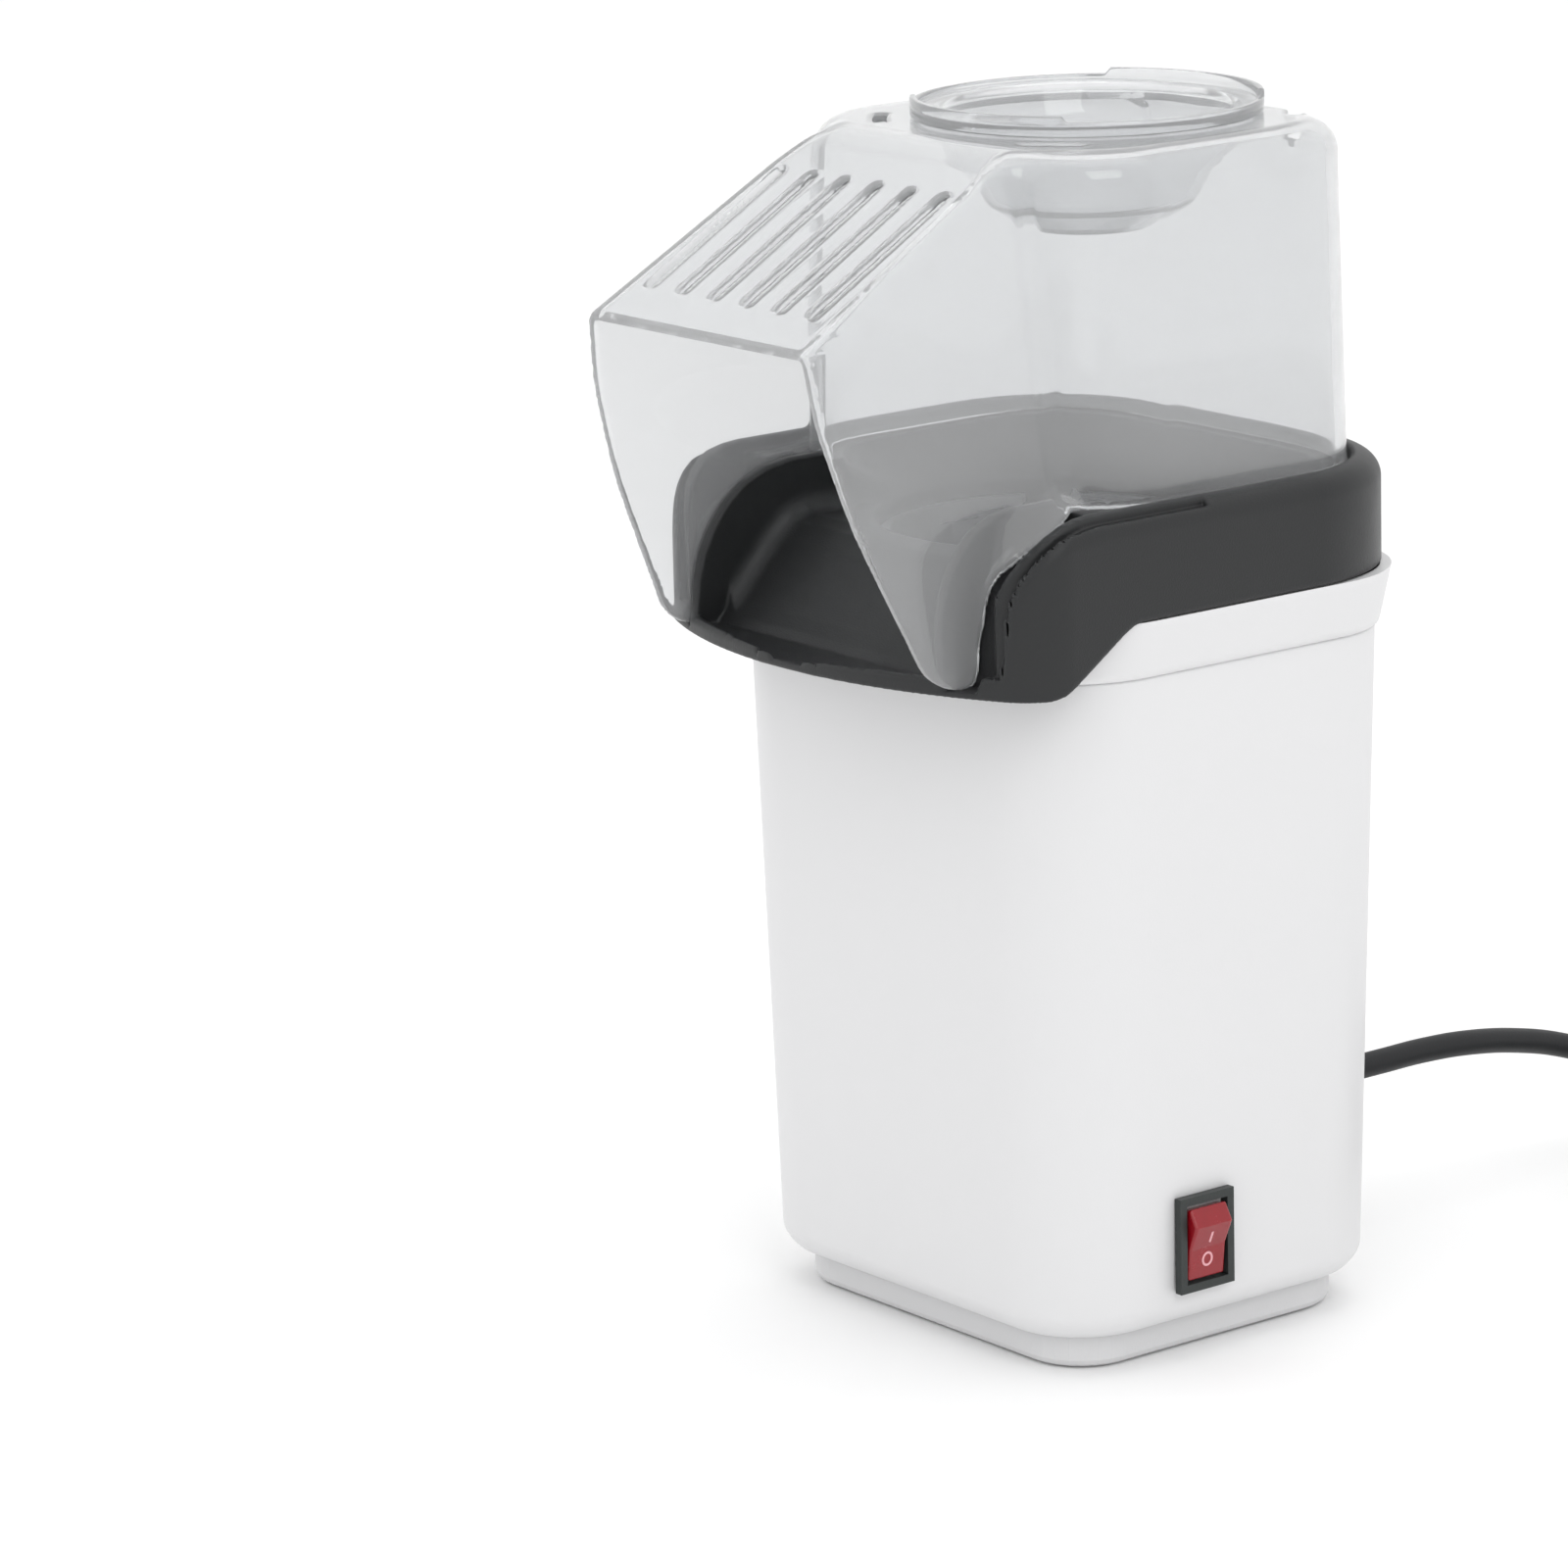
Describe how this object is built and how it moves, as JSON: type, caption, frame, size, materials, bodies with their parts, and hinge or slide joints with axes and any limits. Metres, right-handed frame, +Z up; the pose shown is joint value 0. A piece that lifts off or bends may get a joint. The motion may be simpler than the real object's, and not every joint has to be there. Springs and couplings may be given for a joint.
{
  "type": "popcorn maker",
  "caption": "Hot-air popcorn maker: tapered plastic body with switch, charcoal pouring collar, clear lift-off hood with vent slots, clear measuring cup, inner fan and heater, mains cord.",
  "frame": {"origin": "on the table under the middle of the machine, its cord left out", "axes": "+Z up, -Y the way the chute pours, +X the side with the switch"},
  "size_m": [0.1699, 0.2994, 0.2636],
  "materials": {
    "shell": "light grey-white satin moulded plastic",
    "base": "light grey-white moulded plastic",
    "collar": "charcoal fine-grained moulded plastic",
    "clear_plastic": "clear moulded plastic",
    "bezel": "black satin moulded plastic",
    "rocker_red": "translucent dark red plastic",
    "rubber": "matt black",
    "chamber": "drawn, satin",
    "jacket": "plated sheet",
    "steel": "plated",
    "resistance_wire": "oxidised resistance wire",
    "mica": "pressed mica board",
    "inner_plastic": "heat resistant moulded plastic",
    "fan_plastic": "black moulded plastic",
    "magnet": "sintered ferrite",
    "copper": "lacquered copper winding",
    "board": "paper laminate board",
    "brass": "plain stamped",
    "cord_black": "black soft PVC",
    "wire_sleeve": "silicone sleeve"
  },
  "bodies": {
    "base": {"base_plate": "base", "housing": "shell", "foot_front_left": "rubber", "base_screw_1": "steel", "foot_front_right": "rubber", "base_screw_2": "steel", "foot_rear_left": "rubber", "base_screw_3": "steel", "foot_rear_right": "rubber", "base_screw_4": "steel", "chute_collar": "collar", "popping_chamber": "chamber", "chamber_screw_1": "steel", "chamber_screw_2": "steel", "chamber_screw_3": "steel", "chamber_screw_4": "steel", "heater_jacket": "jacket", "mica_plate_a": "mica", "mica_plate_b": "mica", "heater_coil": "resistance_wire", "dropper_coil": "resistance_wire", "fan_housing": "inner_plastic", "motor_can": "steel", "motor_end_cap": "fan_plastic", "magnet_rear": "magnet", "magnet_front": "magnet", "motor_screw_1": "steel", "motor_screw_2": "steel", "rectifier_board": "board", "diode_1": "fan_plastic", "diode_2": "fan_plastic", "diode_3": "fan_plastic", "diode_4": "fan_plastic", "thermostat": "fan_plastic", "thermal_fuse": "steel", "switch_body": "bezel", "switch_terminal_upper": "brass", "switch_terminal_lower": "brass", "strain_relief": "cord_black", "power_cord": "cord_black", "cord_coil": "cord_black", "coil_tie": "cord_black", "cord_tail": "cord_black", "plug_body": "cord_black", "plug_blade_left": "brass", "plug_blade_right": "brass", "wire_live": "wire_sleeve", "wire_neutral": "wire_sleeve", "wire_heater": "wire_sleeve", "wire_motor_a": "wire_sleeve", "wire_motor_b": "wire_sleeve"},
    "hood": {"hood": "clear_plastic"},
    "cup": {"measuring_cup": "clear_plastic"},
    "rocker": {"switch_rocker": "rocker_red"},
    "fan": {"motor_shaft": "steel", "motor_rotor": "copper", "fan_impeller": "fan_plastic"}
  },
  "joints": [
    {"name": "hood_lift", "type": "slide", "parent": "base", "child": "hood", "axis": [0, 0, 1], "range_m": [0, 0.06]},
    {"name": "cup_lift", "type": "slide", "parent": "hood", "child": "cup", "axis": [0, 0, 1], "range_m": [0, 0.04]},
    {"name": "rocker_tilt", "type": "hinge", "parent": "base", "child": "rocker", "pos_m": [0.0565, 0.0089, 0.0266], "axis": [0, -1, 0], "range_deg": [0, 16]},
    {"name": "fan_spin", "type": "hinge", "parent": "base", "child": "fan", "pos_m": [0, 0.0199, 0.06], "axis": [0, 0, 1], "continuous": true}
  ]
}
